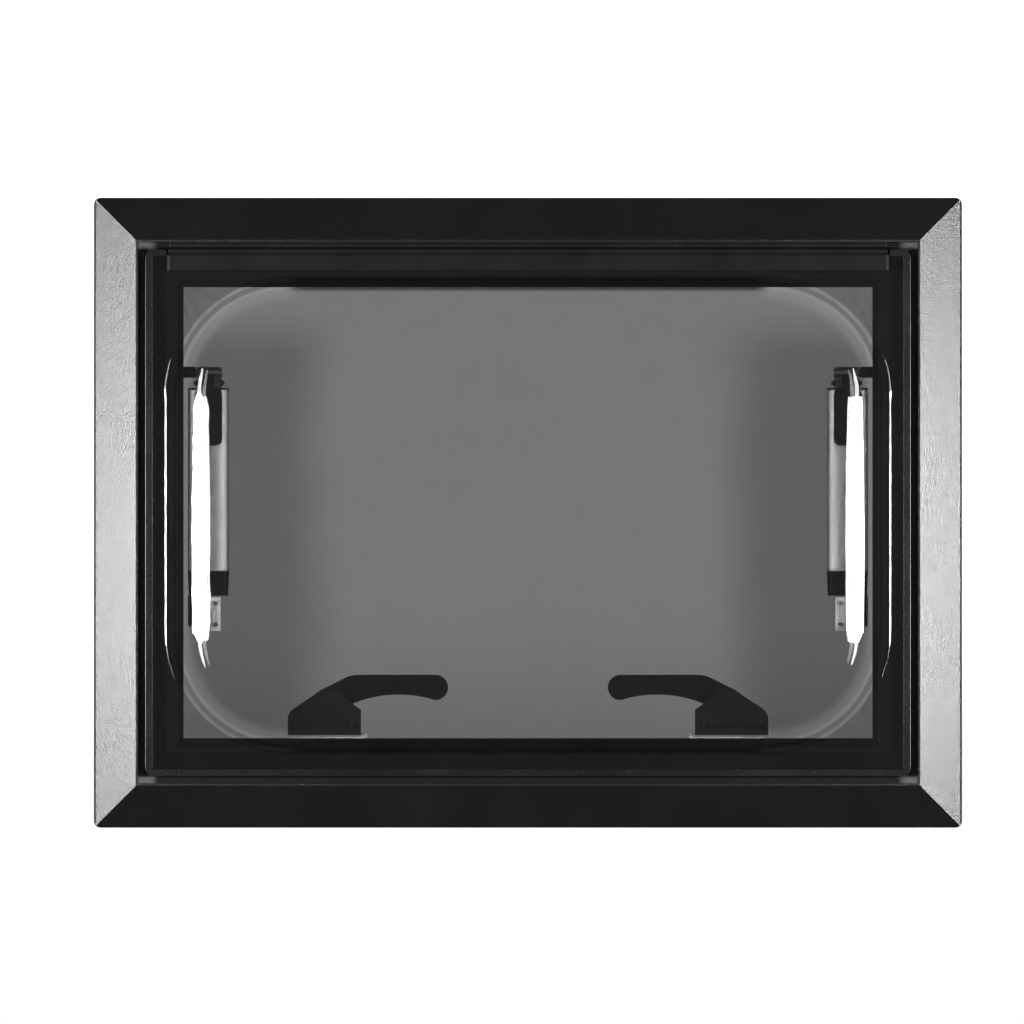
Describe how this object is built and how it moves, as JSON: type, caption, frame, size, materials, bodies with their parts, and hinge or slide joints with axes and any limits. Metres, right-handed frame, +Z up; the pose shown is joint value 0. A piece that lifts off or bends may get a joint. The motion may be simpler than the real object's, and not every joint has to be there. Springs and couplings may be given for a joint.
{
  "type": "deck hatch",
  "caption": "Top-hung push-out hatch with a bevelled black frame, domed smoked double pane, telescopic clamp stays and lever latches.",
  "frame": {"origin": "centre of the wall cut-out, in the plane of the outer flange's back face (the face that seats on the hull skin)", "axes": "+Z up towards the hinge, +X to the right seen from outside, +Y inward through the wall, so the outer face looks along -Y"},
  "size_m": [0.7, 0.0734, 0.508],
  "materials": {
    "black_anodised": "satin black anodised extrusion",
    "black_nylon": "fine-textured glass-filled nylon",
    "black_powder_coat": "fine-textured black powder coat on extruded aluminium",
    "gloss_trim": "glossy black edge profile",
    "satin_aluminium": "satin anodised drawn tube",
    "smoked_acrylic": "clear gloss smoked acrylic",
    "soft_rubber": "soft black EPDM",
    "stainless": "brushed stainless",
    "zinc_plate": "bright zinc-plated pressed steel"
  },
  "bodies": {
    "frame": {"bezel_rail_top": "black_powder_coat", "bezel_rail_bottom": "black_powder_coat", "bezel_rail_left": "black_powder_coat", "bezel_rail_right": "black_powder_coat", "sill_rail_top": "black_powder_coat", "sill_rail_bottom": "black_powder_coat", "sill_rail_left": "black_powder_coat", "sill_rail_right": "black_powder_coat", "corner_keys": "zinc_plate", "hull_gasket": "soft_rubber", "lid_seal": "soft_rubber", "clamp_ring_top": "black_powder_coat", "clamp_ring_bottom": "black_powder_coat", "clamp_ring_left": "black_powder_coat", "clamp_ring_right": "black_powder_coat", "clamp_ring_screws": "stainless", "hinge_frame_rail": "black_anodised", "stay_bracket_left": "black_nylon", "stay_bracket_right": "black_nylon", "stay_bracket_screws": "stainless", "stay_pivot_pin_left": "stainless", "stay_pivot_pin_right": "stainless", "latch_keeper_left": "zinc_plate", "latch_keeper_right": "zinc_plate", "keeper_screws": "stainless"},
    "lid": {"outer_pane": "smoked_acrylic", "inner_pane": "smoked_acrylic", "lid_edge_trim": "gloss_trim", "hinge_lid_rail": "black_anodised", "hinge_end_caps": "black_nylon", "pane_bracket_left": "zinc_plate", "pane_bracket_right": "zinc_plate", "pane_bracket_screws": "stainless", "latch_base_left": "black_nylon", "latch_base_right": "black_nylon", "latch_base_screws": "stainless"},
    "stay_rod_left": {"stay_rod_left": "stainless", "stay_rod_guide_left": "black_nylon"},
    "stay_tube_left": {"stay_tube_left": "satin_aluminium", "stay_tube_screw_left": "stainless", "stay_clamp_housing_left": "black_nylon", "stay_foot_left": "black_nylon", "stay_foot_pin_left": "stainless"},
    "stay_knob_left": {"stay_knob_left": "black_nylon", "stay_clamp_stud_left": "stainless"},
    "latch_left": {"latch_lever_left": "black_nylon", "latch_tongue_left": "zinc_plate", "latch_spindle_left": "stainless"},
    "stay_rod_right": {"stay_rod_right": "stainless", "stay_rod_guide_right": "black_nylon"},
    "stay_tube_right": {"stay_tube_right": "satin_aluminium", "stay_tube_screw_right": "stainless", "stay_clamp_housing_right": "black_nylon", "stay_foot_right": "black_nylon", "stay_foot_pin_right": "stainless"},
    "stay_knob_right": {"stay_knob_right": "black_nylon", "stay_clamp_stud_right": "stainless"},
    "latch_right": {"latch_lever_right": "black_nylon", "latch_tongue_right": "zinc_plate", "latch_spindle_right": "stainless"}
  },
  "joints": [
    {"name": "lid_hinge", "type": "hinge", "parent": "frame", "child": "lid", "pos_m": [0, -0.014, 0.211], "axis": [-1, 0, 0], "range_deg": [0, 50]},
    {"name": "stay_pivot_left", "type": "hinge", "parent": "frame", "child": "stay_rod_left", "pos_m": [-0.258, 0.005, 0.1135], "axis": [-1, 0, 0], "range_deg": [0, 65.27]},
    {"name": "stay_slide_left", "type": "slide", "parent": "stay_rod_left", "child": "stay_tube_left", "axis": [0, 0, -1], "range_m": [0, 0.0585]},
    {"name": "knob_turn_left", "type": "hinge", "parent": "stay_tube_left", "child": "stay_knob_left", "pos_m": [-0.258, 0.02, 0.105], "axis": [0, 1, 0], "range_deg": [0, 270]},
    {"name": "latch_turn_left", "type": "hinge", "parent": "lid", "child": "latch_left", "pos_m": [-0.16, 0.002, -0.158], "axis": [0, -1, 0], "range_deg": [0, 90]},
    {"name": "stay_pivot_right", "type": "hinge", "parent": "frame", "child": "stay_rod_right", "pos_m": [0.258, 0.005, 0.1135], "axis": [-1, 0, 0], "range_deg": [0, 65.27]},
    {"name": "stay_slide_right", "type": "slide", "parent": "stay_rod_right", "child": "stay_tube_right", "axis": [0, 0, -1], "range_m": [0, 0.0585]},
    {"name": "knob_turn_right", "type": "hinge", "parent": "stay_tube_right", "child": "stay_knob_right", "pos_m": [0.258, 0.02, 0.105], "axis": [0, 1, 0], "range_deg": [0, 270]},
    {"name": "latch_turn_right", "type": "hinge", "parent": "lid", "child": "latch_right", "pos_m": [0.16, 0.002, -0.158], "axis": [0, 1, 0], "range_deg": [0, 90]}
  ],
  "couplings": [
    {"joint": "stay_pivot_left", "follows": "lid_hinge", "ratio": 1.3052},
    {"joint": "stay_slide_left", "follows": "lid_hinge", "m_per_rad": 0.067013},
    {"joint": "stay_pivot_right", "follows": "lid_hinge", "ratio": 1.3052},
    {"joint": "stay_slide_right", "follows": "lid_hinge", "m_per_rad": 0.067013}
  ]
}
